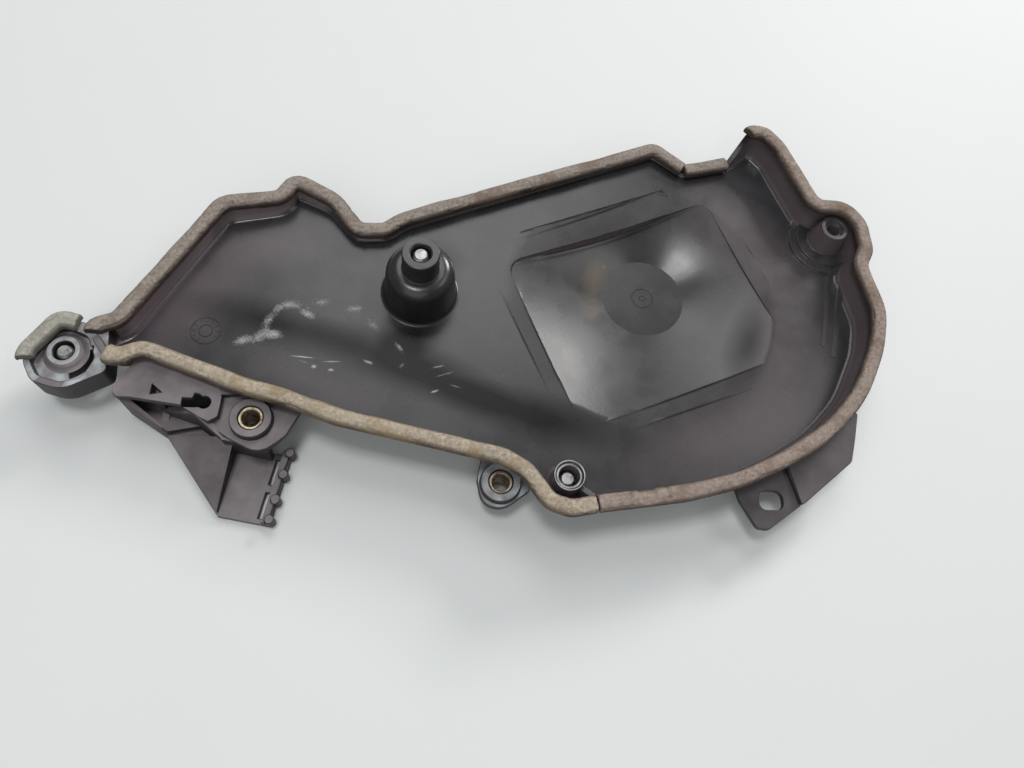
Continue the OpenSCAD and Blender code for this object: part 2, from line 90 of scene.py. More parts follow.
# Share of the solid's depth that the band keeps
BAND_SHARE = 0.5
NYLON_DARK = "201f21"
NYLON_HAZE = "3f3e40"
NYLON_WORN = "2e2d2f"
NYLON_SIDE = "322e30"
# The next two colour the bolting faces with painted light; the first is also the thick dust outside the rim
NYLON_DUST_AND_LIGHT = "787173"
NYLON_PAINTED_LIGHT = "a4abae"
FLOOR_DUST = "4a4246"
# Painted light, with dust, that lightens the leaning walls
WALL_DUST_AND_LIGHT = "8a7b7e"
THIN_DUST = "5a5456"
THIN_SOIL = "373235"
THICK_SOIL = "504a4d"
GREASE_BROWN = "6b5a3e"
# Painted shade, for dark spots on the floor and dark lines along the folds
SHADE_BLACK = "0c0b0b"
SCUFF_PALE = "a3a5a6"


def new_piece(name, mesh):
    """An object of that name for a mesh, riding on the part."""
    piece = bpy.data.objects.new(name, mesh)
    scene.collection.objects.link(piece)
    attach(piece, "root")
    return piece


def linear(colour):
    """An sRGB hex colour as linear RGBA."""
    parts = [int(colour[k:k + 2], 16) / 255 for k in (0, 2, 4)]
    return [c / 12.92 if c <= 0.04045 else ((c + 0.055) / 1.055) ** 2.4 for c in parts] + [1]


def add(tree, kind, inputs=None, **settings):
    """A shader node with its settings; each input is set to a value or linked to a socket."""
    made = tree.nodes.new("ShaderNode" + kind)
    for name, value in settings.items():
        setattr(made, name, value)
    for socket, value in (inputs or {}).items():
        if isinstance(value, bpy.types.NodeSocket):
            tree.links.new(value, made.inputs[socket])
        else:
            made.inputs[socket].default_value = value
    return made


def new_material(name):
    """An empty material with its shader, its tree and the part's own coordinates in metres."""
    material = bpy.data.materials.new(name)
    material.use_nodes = True
    tree = material.node_tree
    shader = tree.nodes["Principled BSDF"]
    place = add(tree, "TexCoord").outputs["Object"]
    return material, tree, shader, place


def over_funnel(point):
    """Whether a point lies within the funnel's round, seen from above."""
    return (point.xy - FUNNEL_AT).length < FUNNEL_R


def bow_funnel(bm):
    """Cuts rings into the funnel's slope and bows it, hollow on one side and flared on the other."""
    slope = []
    for face in bm.faces:
        middle = face.calc_center_median()
        leans = SLOPE_STEEPEST < face.normal.z < SLOPE_FLATTEST
        sunk = FLOOR_Z - FUNNEL_DEPTH - HEIGHT_SLACK < middle.z < FLOOR_Z
        if leans and sunk and over_funnel(middle):
            slope.append(face)
    for share in BOW_CUTS:
        corners = {v for face in slope for v in face.verts}
        edges = {edge for face in slope for edge in face.edges}
        cut = bmesh.ops.bisect_plane(
            bm, geom=slope + list(edges) + list(corners), dist=CUT_SNAP,
            plane_co=(0, 0, FLOOR_Z - share * FUNNEL_DEPTH), plane_no=(0, 0, 1))
        slope = [item for item in cut["geom"] if isinstance(item, bmesh.types.BMFace)]
    steep = {v for face in slope if face.normal.z < BAND_STEEPEST for v in face.verts}
    gentle = {v for face in slope if face.normal.z >= BAND_STEEPEST for v in face.verts} - steep
    for v in steep:
        t = (FLOOR_Z - v.co.z) / FUNNEL_DEPTH
        bow = FUNNEL_BOW * (v.co.xy - DISC_AT).normalized().dot(HOLLOW_SIDE)
        v.co.z -= bow * t * (1 - t) * FUNNEL_DEPTH
    for v in gentle:
        v.co.z = FLOOR_Z - BAND_SHARE * (FLOOR_Z - v.co.z)


def shell_mesh():
    """The shell's solid with flat faces merged, and its folds marked for rounding."""
    bm = bmesh.new()
    bm.from_mesh(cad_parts["cover_shell"].data)
    bmesh.ops.remove_doubles(bm, verts=bm.verts, dist=WELD)
    bmesh.ops.dissolve_limit(bm, angle_limit=FLAT_LIMIT, verts=bm.verts, edges=bm.edges)
    bow_funnel(bm)
    weight = bm.edges.layers.float.new("bevel_weight_edge")
    for face in bm.faces:
        face.smooth = True
    for edge in bm.edges:
        if not edge.is_manifold:
            continue
        middle = (edge.verts[0].co + edge.verts[1].co) / 2
        in_funnel = middle.z < FLOOR_Z - HEIGHT_SLACK and over_funnel(middle)
        fold = edge.calc_face_angle()
        edge.smooth = fold < (FUNNEL_FOLD_LIMIT if in_funnel else FOLD_LIMIT)
        edge[weight] = float(fold > FOLD_LIMIT)
    mesh = bpy.data.meshes.new("moulded_shell")
    bm.to_mesh(mesh)
    bm.free()
    if "custom_normal" in mesh.attributes:
        mesh.attributes.remove(mesh.attributes["custom_normal"])
    return mesh


def settle_rounding(piece):
    """Takes the rounding off each edge where it would fold a face over."""
    mesh = piece.data
    weight = mesh.attributes["bevel_weight_edge"].data
    for _ in range(ROUNDING_TRIES):
        mesh.update_tag()
        ready = piece.evaluated_get(bpy.context.evaluated_depsgraph_get())
        rounded = ready.to_mesh()
        rounded.calc_loop_triangles()
        folded = []
        for triangle in rounded.loop_triangles:
            a, b, c = (rounded.vertices[k].co for k in triangle.vertices)
            normal = rounded.polygons[triangle.polygon_index].normal
            if (b - a).cross(c - a).dot(normal) < FOLDED_OVER:
                folded += [a.copy(), b.copy(), c.copy()]
        ready.to_mesh_clear()
        if not folded:
            break
        near = kdtree.KDTree(len(folded))
        for k, corner in enumerate(folded):
            near.insert(corner, k)
        near.balance()
        for edge in mesh.edges:
            if min(near.find(mesh.vertices[k].co)[2] for k in edge.vertices) < ROUNDING_REACH:
                weight[edge.index].value = 0


# Marks on the floor, as x, y, turn in degrees, half length, half width, all in mm, and strength
SCUFFS = [
    (7, 50, 15, 8, 3.5, 0.76), (15, 46.5, -30, 7, 3.5, 0.76), (0.5, 43, 60, 9, 3.5, 0.74),
    (-2.4, 35, 20, 8, 4, 0.72), (-9.3, 33.5, 40, 6, 3.5, 0.7), (4, 37, -20, 6, 4, 0.72),
    (20, 52, 10, 8, 4, 0.62), (33, 50, 10, 9, 4, 0.6), (41, 43, -40, 9, 4, 0.56),
    (15, 27.9, -3, 7.5, 0.5, 1.2), (15, 26, -14, 7, 1, 0.6), (26, 26.5, 3, 6, 0.5, 1.1),
    (19.6, 24, 0, 1.8, 1.1, 1.2), (26.1, 23, 0, 2, 1, 1.2), (40, 27, -20, 3.5, 1.2, 1),
    (51.5, 34, -50, 5, 1.8, 0.8), (53, 26.5, 40, 3.5, 1.6, 0.6), (67, 26.5, 14, 6.5, 1, 0.7),
    (70, 23.5, 20, 10, 0.4, 0.7), (66, 16, 20, 3, 0.9, 1.0), (74, 18.5, -15, 4, 0.5, 0.8),
    (95, 38, 60, 2.5, 0.8, 0.5), (97, 33, -5, 5, 0.6, 0.4), (126.5, 10.5, 60, 1.8, 0.7, 0.5),
]
DUSTY_SPOTS = [
    (208, 40, 80, 55, 26, 0.7), (180, 2, 20, 48, 20, 0.8), (-28, 52, 55, 42, 20, 1),
    (0, 78, 10, 30, 14, 0.7), (200, 95, -50, 40, 22, 0.8), (20, 18, -20, 40, 9, 0.5),
]
# Painted shade: dark spots on the near side of the tower, beside the disc and in a long streak across the
# floor
SHADE_SPOTS = [
    (2, 42, -14, 40, 11, 0.8), (56, 26, -20, 46, 13, 1), (104, 8, -14, 44, 12, 0.9),
    (55, 40, 0, 14, 11, 0.9), (141, 56, 30, 17, 12, 0.9), (196, 45, 70, 26, 11, 0.8),
    (60, 74, 0, 18, 12, 0.5),
]
# Painted shade: dark lines tapering along the folds of the funnel's panel and band
FOLD_SHADE = [
    (132.2, 103.1, 25.5, 40, 0.8, 1), (138.4, 93, 23.3, 53, 0.9, 1), (100.5, 40.7, -66, 28, 0.7, 1),
    (108.3, 39.2, -67.3, 36, 0.9, 1), (167.3, 20.5, 22.7, 42, 0.9, 1), (169.3, 13.6, 21.1, 34, 0.6, 0.8),
]
GREASE_SPOTS = [(134, 76, 70, 14, 9, 1), (131, 62, 110, 12, 8, 0.6), (138, 82.5, 20, 2.4, 1.6, 1)]
# Around the tower the walls get no painted light or dust
SPARED_SPOTS = [(58.5, 59, 0, 40, 40, 2)]
# How far a mark reaches above and below the floor
SCUFF_REACH = 1.5 * MM
SPOT_REACH = 14 * MM
SPARED_REACH = 60 * MM
# Each kind of spot that darkens or tints the floor (dust, painted shade, grease), its colour and how much
# of the nylon it hides
FLOOR_SOIL_AND_SHADE = [
    (DUSTY_SPOTS, FLOOR_DUST, 0.8), (SHADE_SPOTS, SHADE_BLACK, 0.9), (GREASE_SPOTS, GREASE_BROWN, 0.8),
    (FOLD_SHADE, SHADE_BLACK, 1),
]
# The painted light and dust on the walls thin out between these two places along the part
WALL_FADE_START = 40 * MM
WALL_FADE_END = 170 * MM
HAZE_SIZE = 45 * MM
BLOTCH_SIZE = 12 * MM
SINK_SIZE = 38 * MM
SCUFF_GRIT = 2.4 * MM
RUB_SIZE = 6 * MM
FILM_SIZE = 14 * MM
LIGHT_PATCH_SIZE = 5 * MM
# The tool's grain and the dust's grit are too fine to show, so they are drawn as coarse as this
TOOL_GRAIN = 0.9 * MM
DUST_GRIT = 0.7 * MM


def marks(tree, place, spots, reach):
    """The sum of soft oval spots on the floor, each fading out from its middle."""
    total = 0
    for x, y, turn, half_length, half_width, strength in spots:
        local = add(tree, "Mapping", {
            "Vector": place, "Location": (x * MM, y * MM, FLOOR_Z), "Rotation": (0, 0, math.radians(turn)),
            "Scale": (half_length * MM, half_width * MM, reach)}, vector_type="TEXTURE")
        ball = add(tree, "TexGradient", {"Vector": local.outputs["Vector"]}, gradient_type="SPHERICAL")
        total = add(tree, "Math", {0: ball.outputs["Fac"], 1: strength, 2: total},
                    operation="MULTIPLY_ADD").outputs[0]
    return total


def nylon():
    """Moulded nylon, satin: a dark body under a grey haze, painted light and dust on the walls, painted
    shade on the floor and along the folds, and scuffs.
    """
    material, tree, shader, place = new_material("glass_filled_nylon_moulded_satin")
    broad = add(tree, "TexNoise", {"Vector": place, "Scale": 1 / HAZE_SIZE, "Detail": 3, "Roughness": 0.55})
    blotch = add(tree, "TexNoise", {"Vector": place, "Scale": 1 / BLOTCH_SIZE, "Detail": 3,
                                    "Roughness": 0.5})
    haze = add(tree, "MapRange", {"Value": broad.outputs["Fac"], "From Min": 0.35, "From Max": 0.7})
    body = add(tree, "MixRGB", {"Fac": haze.outputs["Result"], "Color1": linear(NYLON_DARK),
                                "Color2": linear(NYLON_WORN)})
    # Painted light and dust lighten the leaning walls, but less along the part and around the tower
    way = add(tree, "SeparateXYZ", {"Vector": add(tree, "NewGeometry").outputs["Normal"]})
    leaning = add(tree, "MapRange", {"Value": way.outputs["Z"], "From Min": 0.5, "From Max": 0.9,
                                     "To Min": 0.85, "To Max": 0})
    spared = add(tree, "MapRange", {"Value": marks(tree, place, SPARED_SPOTS, SPARED_REACH),
                                   "To Min": 1, "To Max": 0})
    along = add(tree, "SeparateXYZ", {"Vector": place})
    wall_fade = add(tree, "MapRange", {"Value": along.outputs["X"], "From Min": WALL_FADE_START,
                                   "From Max": WALL_FADE_END, "To Min": 1, "To Max": 0.5})
    wall_share = add(tree, "Math", {0: spared.outputs["Result"], 1: wall_fade.outputs["Result"]}, operation="MULTIPLY")
    wall_cover = add(tree, "Math", {0: leaning.outputs["Result"], 1: wall_share.outputs[0]}, operation="MULTIPLY")
    body = add(tree, "MixRGB", {"Fac": wall_cover.outputs[0], "Color1": body.outputs["Color"],
                                "Color2": linear(WALL_DUST_AND_LIGHT)})
    mottled = add(tree, "MapRange", {"Value": blotch.outputs["Fac"], "From Min": 0.3, "From Max": 0.8,
                                     "To Max": 0.25})
    hazed = add(tree, "MixRGB", {"Fac": mottled.outputs["Result"], "Color1": body.outputs["Color"],
                                 "Color2": linear(NYLON_HAZE)})
    # Dust, painted shade and grease tint the floor
    for spots, tint, share in FLOOR_SOIL_AND_SHADE:
        cover = marks(tree, place, spots, SPOT_REACH)
        soft = add(tree, "MapRange", {"Value": cover, "To Max": share, "From Max": 0.7})
        hazed = add(tree, "MixRGB", {"Fac": soft.outputs["Result"], "Color1": hazed.outputs["Color"],
                                     "Color2": linear(tint)})
    # Painted shade: the shade spots and fold lines also lower the reflection
    shade_cover = marks(tree, place, SHADE_SPOTS + FOLD_SHADE, SPOT_REACH)
    dull = add(tree, "MapRange", {"Value": shade_cover, "From Max": 0.7, "To Min": 0.5, "To Max": 0.2})
    tree.links.new(dull.outputs["Result"], shader.inputs["Specular IOR Level"])
    # A scuff breaks up into grit towards its edge
    total = marks(tree, place, SCUFFS, SCUFF_REACH)
    ragged = add(tree, "TexNoise", {"Vector": place, "Scale": 1 / SCUFF_GRIT, "Detail": 4, "Roughness": 0.6,
                                    "Distortion": 4})
    broken = add(tree, "Math", {0: total, 1: ragged.outputs["Fac"]}, operation="ADD")
    scuff = add(tree, "MapRange", {"Value": broken.outputs[0], "From Min": 0.88, "From Max": 1.5})
    colour = add(tree, "MixRGB", {"Fac": scuff.outputs["Result"], "Color1": hazed.outputs["Color"],
                                  "Color2": linear(SCUFF_PALE)})
    tree.links.new(colour.outputs["Color"], shader.inputs["Base Color"])
    polish = add(tree, "MapRange", {"Value": blotch.outputs["Fac"], "From Min": 0.3, "From Max": 0.75,
                                    "To Min": 0.24, "To Max": 0.32})
    tree.links.new(polish.outputs["Result"], shader.inputs["Roughness"])
    shader.inputs["IOR"].default_value = 1.5
    sink = add(tree, "TexNoise", {"Vector": place, "Scale": 1 / SINK_SIZE, "Detail": 1, "Roughness": 0.4})
    waves = add(tree, "Bump", {"Height": sink.outputs["Fac"], "Strength": 0.5, "Distance": 0.25 * MM})
    grain = add(tree, "TexNoise", {"Vector": place, "Scale": 1 / TOOL_GRAIN, "Detail": 2})
    bump = add(tree, "Bump", {"Height": grain.outputs["Fac"], "Strength": 0.25, "Distance": 0.05 * MM,
                              "Normal": waves.outputs["Normal"]})
    tree.links.new(bump.outputs["Normal"], shader.inputs["Normal"])
    return material


def worn_nylon():
    """The same nylon along its edges, rubbed paler and a little duller."""
    material, tree, shader, place = new_material("glass_filled_nylon_rubbed_edge")
    rub = add(tree, "TexNoise", {"Vector": place, "Scale": 1 / RUB_SIZE, "Detail": 4})
    share = add(tree, "MapRange", {"Value": rub.outputs["Fac"], "From Min": 0.4, "From Max": 0.65})
    colour = add(tree, "MixRGB", {"Fac": share.outputs["Result"], "Color1": linear(NYLON_DARK),
                                  "Color2": linear(NYLON_HAZE)})
    tree.links.new(colour.outputs["Color"], shader.inputs["Base Color"])
    shader.inputs["Roughness"].default_value = 0.36
    shader.inputs["IOR"].default_value = 1.5
    return material


def dusty_nylon(name, thin, thick):
    """The same nylon, dull under a patchy film of dirt that settles on the faces that look up."""
    material, tree, shader, place = new_material(name)
    film = add(tree, "TexNoise", {"Vector": place, "Scale": 1 / FILM_SIZE, "Detail": 5, "Roughness": 0.6})
    share = add(tree, "MapRange", {"Value": film.outputs["Fac"], "From Min": 0.35, "From Max": 0.7})
    settled = add(tree, "MixRGB", {"Fac": share.outputs["Result"], "Color1": linear(thin),
                                   "Color2": linear(thick)})
    way = add(tree, "SeparateXYZ", {"Vector": add(tree, "NewGeometry").outputs["Normal"]})
    upward = add(tree, "MapRange", {"Value": way.outputs["Z"], "From Min": 0.2, "From Max": 0.75})
    colour = add(tree, "MixRGB", {"Fac": upward.outputs["Result"], "Color1": linear(NYLON_SIDE),
                                  "Color2": settled.outputs["Color"]})
    tree.links.new(colour.outputs["Color"], shader.inputs["Base Color"])
    shader.inputs["Roughness"].default_value = 0.5
    shader.inputs["IOR"].default_value = 1.45
    grain = add(tree, "TexNoise", {"Vector": place, "Scale": 1 / DUST_GRIT, "Detail": 3})
    bump = add(tree, "Bump", {"Height": grain.outputs["Fac"], "Strength": 0.3, "Distance": 0.05 * MM})
    tree.links.new(bump.outputs["Normal"], shader.inputs["Normal"])
    return material


def lit_bolting_nylon():
    """The same nylon on the bolting faces, with painted light: a patchy pale grey that stands in for the
    light falling on them.
    """
    material, tree, shader, place = new_material("glass_filled_nylon_painted_light")
    patch = add(tree, "TexNoise", {"Vector": place, "Scale": 1 / LIGHT_PATCH_SIZE, "Detail": 4})
    share = add(tree, "MapRange", {"Value": patch.outputs["Fac"], "From Min": 0.35, "From Max": 0.65})
    colour = add(tree, "MixRGB", {"Fac": share.outputs["Result"], "Color1": linear(NYLON_DUST_AND_LIGHT),
                                  "Color2": linear(NYLON_PAINTED_LIGHT)})
    tree.links.new(colour.outputs["Color"], shader.inputs["Base Color"])
    shader.inputs["Roughness"].default_value = 0.35
    return material


# Run of the lower rim, as x and y in mm; what lies beyond it is outside the seals
LOWER_RIM = [
    (-52, 28), (-46, 30), (-20, 20), (3, 11), (28, 3), (54, -1), (83, -6), (98, -12), (108, -25),
    (120, -29), (146, -26), (173, -22), (202, -11), (225, 6), (262, 40),
]
# Outside the seals, dust gives way to dark soil from here on along the part
SOIL_START = 150 * MM
# Faces with painted light: how far they reach around the sleeve or bolt, and the least upward part of their
# normals
BOLTING = {"sleeve_lug": 12 * MM, "bolt_boss": 6 * MM, "bolt_ear": 7 * MM}
BOLTING_UPWARD = 0.8


def beyond_rim(point):
    """Whether a point lies outside the lower rim, where the dust settles."""
    x, y = point.x / MM, point.y / MM
    for (x0, y0), (x1, y1) in zip(LOWER_RIM, LOWER_RIM[1:]):
        if x0 <= x < x1:
            return y < y0 + (y1 - y0) * (x - x0) / (x1 - x0)
    return True


SHELL_FINISHES = [
    nylon(),
    worn_nylon(),
    dusty_nylon("glass_filled_nylon_moulded_dusty", THIN_DUST, NYLON_DUST_AND_LIGHT),
    lit_bolting_nylon(),
    dusty_nylon("glass_filled_nylon_moulded_soiled", THIN_SOIL, THICK_SOIL),
]
SATIN, RUBBED, DUSTY, LIT_BOLTING, SOILED = range(len(SHELL_FINISHES))
shell = new_piece("moulded_shell", shell_mesh())
shell.data.materials.clear()
for finish in SHELL_FINISHES:
    shell.data.materials.append(finish)
bolting = [((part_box(node)[0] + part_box(node)[1]).xy / 2, reach) for node, reach in BOLTING.items()]
for polygon in shell.data.polygons:
    middle = polygon.center
    if beyond_rim(middle):
        polygon.material_index = DUSTY if middle.x < SOIL_START else SOILED
    else:
        polygon.material_index = SATIN
    # Painted light on the upward faces around the bolts
    if polygon.normal.z > BOLTING_UPWARD and any((middle.xy - at).length < reach for at, reach in bolting):
        polygon.material_index = LIT_BOLTING
rounding = shell.modifiers.new("edge_round", "BEVEL")
rounding.width = EDGE_ROUND
rounding.segments = 2
rounding.limit_method = "WEIGHT"
rounding.use_clamp_overlap = False
rounding.loop_slide = False
rounding.material = RUBBED
settle_rounding(shell)
even = shell.modifiers.new("even_shading", "WEIGHTED_NORMAL")
even.keep_sharp = True
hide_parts("cover_shell")

# The ring marks: the plain round mark of a date insert in the floor and of the gate on the disc, which
# the injection tool leaves as fine raised lines. They are part of the moulding, and dirt clings to them.

SIDES = 72
WIRE_SIDES = 8
WIRE_R = 0.2 * MM
TICK = Vector((1.1, 0.3, 0.26)) * MM
TICK_SHARE = 0.8
RING_FOLD = math.radians(50)
THIN_GRIME = "1a1819"
THICK_GRIME = "2c292a"
# Each mark's middle in mm, its height in metres, its radii in mm and its number of ticks
RING_MARKS = {
    "date_ring": ((-22.3, 37), FLOOR_Z, (5.6, 2.5), 12),
    "gate_ring": (DISC_AT / MM, FLOOR_Z - FUNNEL_DEPTH, (4.6, 1.2), 0),
}


def turned(bm, rings, closed=False):
    """Adds a skin about +Z through rows of (radius, height); a radius may be a function of the angle."""
    rows = []
    for radius, height in rings:
        row = []
        for k in range(SIDES):
            t = 2 * math.pi * k / SIDES
            r = radius(t) if callable(radius) else radius
            row.append(bm.verts.new((r * math.cos(t), r * math.sin(t), height)))
        rows.append(row)
    for low, high in zip(rows, rows[1:] + (rows[:1] if closed else [])):
        for k in range(SIDES):
            j = (k + 1) % SIDES
            bm.faces.new((low[k], low[j], high[j], high[k]))


def smooth_mesh(bm, name, fold):
    """The mesh of a finished skin, shaded smooth except across folds over that angle."""
    mesh = bpy.data.meshes.new(name)
    bm.to_mesh(mesh)
    bm.free()
    for polygon in mesh.polygons:
        polygon.use_smooth = True
    mesh.set_sharp_from_angle(angle=fold)
    return mesh


def ring_mesh(name, radii, ticks):
    """Raised rings about +Z, half sunk in the floor, with short ticks inside the outer one."""
    bm = bmesh.new()
    angles = [2 * math.pi * k / WIRE_SIDES for k in range(WIRE_SIDES)]
    for radius in radii:
        wire = [(radius * MM + WIRE_R * math.cos(a), WIRE_R * math.sin(a)) for a in angles]
        turned(bm, wire, closed=True)
    for k in range(ticks):
        turn = Matrix.Rotation(2 * math.pi * k / ticks, 4, "Z")
        reach = Matrix.Translation((TICK_SHARE * radii[0] * MM, 0, 0))
        bmesh.ops.create_cube(bm, size=1, matrix=turn @ reach @ Matrix.Diagonal(TICK.to_4d()))
    return smooth_mesh(bm, name, RING_FOLD)


RING_GRIME = dusty_nylon("glass_filled_nylon_moulded_grimy", THIN_GRIME, THICK_GRIME)
for name, ((x, y), height, radii, ticks) in RING_MARKS.items():
    mark = ring_mesh(name, radii, ticks)
    mark.transform(Matrix.Translation((x * MM, y * MM, height)))
    mark.materials.append(RING_GRIME)
    new_piece(name, mark)

# The foam seals: closed-cell rubber foam cut in strips and glued along the rim and the ear.
# Years of clamping have set them soft and uneven, and dust has turned them brown.

FOAM_VOXEL = 0.55 * MM
# Upward part of the skin's normal below which it is held by the glue, and above which it is free
GLUED_BELOW = -0.5
FREE_ABOVE = 0.3
FOAM_SWELL = 0.4 * MM
SWELL_LENGTH = 14 * MM
FOAM_CREASE = 0.25 * MM
CREASE_LENGTH = 40 * MM
CREASE_SPACING = 2.6 * MM
CREASE_SHARE = 0.07
FOAM_PIT = 0.05 * MM
PIT_LENGTH = 1.1 * MM
LOOSE_END_AT = Vector((-51.5, 23.5)) * MM
LOOSE_END_SWELL = 1.3 * MM
LOOSE_END_LENGTH = 4.5 * MM
NOTCH_PULL = Vector((-2.2, -0.4)) * MM
NOTCH_LENGTH = 5 * MM
# Pressed spots on the seals, as x, y, turn in degrees, half length, half width and depth, in mm
PRESSED = [
    (132, -27.5, 11, 6, 1.6, 0.8), (143, -25.5, 11, 3.4, 4.5, 0.5), (150.5, -24, 11, 0.5, 5, 0.5),
    (108, -21, -60, 3, 0.5, 0.5), (93, -8.5, -20, 1.2, 0.9, 0.6), (12, 8, -20, 5, 0.5, 0.4),
]
STAIN_SIZE = 16 * MM
SOAK_SIZE = 11 * MM
# The fourth coordinate of the oil's noise, which sets its pattern apart from the dirt's
SOAK_DRAW = 3
# The foam's cells are too fine to show, so they are drawn as coarse as this
CELL_SIZE = 1.3 * MM


def foam_mesh(node, run):
    """A seal's solid remeshed evenly, then swollen, creased along its run and pitted as old foam is."""
    stock = bpy.data.objects.new("stock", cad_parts[node].data.copy())
    scene.collection.objects.link(stock)
    even_skin = stock.modifiers.new("even_skin", "REMESH")
    even_skin.mode = "VOXEL"
    even_skin.voxel_size = FOAM_VOXEL
    soften = stock.modifiers.new("soften", "SMOOTH")
    soften.iterations = 2
    ready = stock.evaluated_get(bpy.context.evaluated_depsgraph_get())
    mesh = bpy.data.meshes.new_from_object(ready)
    bpy.data.objects.remove(stock)
    mesh.name = node
    onto_run = Matrix.Rotation(-math.radians(run), 3, "Z")
    normals = [v.normal.copy() for v in mesh.vertices]
    for v, n in zip(mesh.vertices, normals):
        free = min(max((n.z - GLUED_BELOW) / (FREE_ABOVE - GLUED_BELOW), 0), 1)
        swell = noise.noise(v.co / SWELL_LENGTH) * FOAM_SWELL
        along, across, up = onto_run @ v.co
        fold = noise.noise((along / CREASE_LENGTH, across / CREASE_SPACING, up / CREASE_SPACING))
        crease = -FOAM_CREASE * max(0, 1 - abs(fold) / CREASE_SHARE)
        pit = noise.noise(v.co / PIT_LENGTH) * FOAM_PIT
        end = LOOSE_END_SWELL * math.exp(-((v.co.xy - LOOSE_END_AT).length / LOOSE_END_LENGTH) ** 2)
        press = 0
        for x, y, turn, half_length, half_width, depth in PRESSED:
            off = Matrix.Rotation(-math.radians(turn), 2) @ (v.co.xy / MM - Vector((x, y)))
            reach = (off.x / half_length) ** 4 + (off.y / half_width) ** 4
            press -= depth * MM * max(0, min(1, 2 - 2 * reach))
        v.co += n * free * (swell + crease + pit + end + press)
    if node == "seal_notch":
        left = min(v.co.x for v in mesh.vertices)
        for v in mesh.vertices:
            v.co.xy += NOTCH_PULL * max(0, 1 - (v.co.x - left) / NOTCH_LENGTH)
    for polygon in mesh.polygons:
        polygon.use_smooth = True
    return mesh


def foam(name, body, dirt, dust, oil):
    """Closed-cell rubber foam, cut: a dry matt skin with open pores, dark dirt and pale dust on top."""
    material, tree, shader, place = new_material(name)
    broad = add(tree, "TexNoise", {"Vector": place, "Scale": 1 / STAIN_SIZE, "Detail": 4, "Roughness": 0.6})
    cells = add(tree, "TexNoise", {"Vector": place, "Scale": 1 / CELL_SIZE, "Detail": 4, "Roughness": 0.7})
    stain = add(tree, "MapRange", {"Value": broad.outputs["Fac"], "From Min": 0.38, "From Max": 0.62})
    base = add(tree, "MixRGB", {"Fac": stain.outputs["Result"], "Color1": linear(dirt),
                                "Color2": linear(body)})
    soak = add(tree, "TexNoise", {"Vector": place, "Scale": 1 / SOAK_SIZE, "Detail": 3, "W": SOAK_DRAW},
               noise_dimensions="4D")
    oily = add(tree, "MapRange", {"Value": soak.outputs["Fac"], "From Min": 0.52, "From Max": 0.68,
                                  "To Max": 0.6})
    way = add(tree, "SeparateXYZ", {"Vector": add(tree, "NewGeometry").outputs["Normal"]})
    top = add(tree, "MapRange", {"Value": way.outputs["Z"], "From Min": 0.4, "From Max": 0.95})
    speck = add(tree, "MapRange", {"Value": cells.outputs["Fac"], "From Min": 0.15, "From Max": 0.7})
    settled = add(tree, "Math", {0: top.outputs["Result"], 1: speck.outputs["Result"]},
                  operation="MULTIPLY")
    dusted = add(tree, "MixRGB", {"Fac": settled.outputs[0], "Color1": base.outputs["Color"],
                                  "Color2": linear(dust)})
    colour = add(tree, "MixRGB", {"Fac": oily.outputs["Result"], "Color1": dusted.outputs["Color"],
                                  "Color2": linear(oil)})
    tree.links.new(colour.outputs["Color"], shader.inputs["Base Color"])
    shader.inputs["Roughness"].default_value = 0.88
    shader.inputs["IOR"].default_value = 1.5
    bump = add(tree, "Bump", {"Height": cells.outputs["Fac"], "Strength": 0.4, "Distance": 0.2 * MM})
    tree.links.new(bump.outputs["Normal"], shader.inputs["Normal"])
    return material


GREY_FOAM = foam("rubber_foam_cut_grey", body="4d423c", dirt="32281f", dust="968c83", oil="5c4a3c")
BROWN_FOAM = foam("rubber_foam_cut_brown", body="5a4c44", dirt="3b2f29", dust="988a80", oil="5f4d3c")
TAN_FOAM = foam("rubber_foam_cut_tan", body="64584b", dirt="3f342b", dust="b2a694", oil="7f6b4b")
OLIVE_FOAM = foam("rubber_foam_cut_olive", body="716f64", dirt="504f47", dust="a3a196", oil="5d5c50")
# Each seal's material, its slot and the way its strip runs, in degrees
SEALS = {
    "seal_top": (GREY_FOAM, "foam_grey", 18),
    "seal_notch": (GREY_FOAM, "foam_grey", 10),
    "seal_right": (BROWN_FOAM, "foam_brown", 11),
    "seal_lower": (TAN_FOAM, "foam_tan", -20),
    "seal_ear": (OLIVE_FOAM, "foam_grey", 30),
}
for node, (material, slot, run) in SEALS.items():
    seal = new_piece("foam_" + node, foam_mesh(node, run))
    seal.data.materials.clear()
    seal.data.materials.append(material)
    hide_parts(node)

# The sleeves: short steel tubes pressed into the ring bosses of the bracket and the lug, so that
# a tight bolt can't crush the nylon. They are zinc plated and yellow passivated, stained inside.

SLEEVE_WALL = 1.25 * MM
SLEEVE_EDGE = 0.3 * MM
SLEEVE_FOLD = math.radians(30)
PASSIVATE_GOLD = "b8ab95"
PASSIVATE_STAIN = "6f5538"
PASSIVATE_SIZE = 2.5 * MM


def sleeve_mesh(node):
    """A tube with small chamfers at both ends, from the size of its solid."""
    low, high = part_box(node)
    outer = (high.x - low.x) / 2
    inner = outer - SLEEVE_WALL
    c = SLEEVE_EDGE
    bm = bmesh.new()
    turned(bm, [
        (inner + c, low.z), (outer - c, low.z), (outer, low.z + c), (outer, high.z - c),
        (outer - c, high.z), (inner + c, high.z), (inner, high.z - c), (inner, low.z + c)], closed=True)
    bmesh.ops.translate(bm, verts=bm.verts, vec=((low.x + high.x) / 2, (low.y + high.y) / 2, 0))
    return smooth_mesh(bm, node, SLEEVE_FOLD)


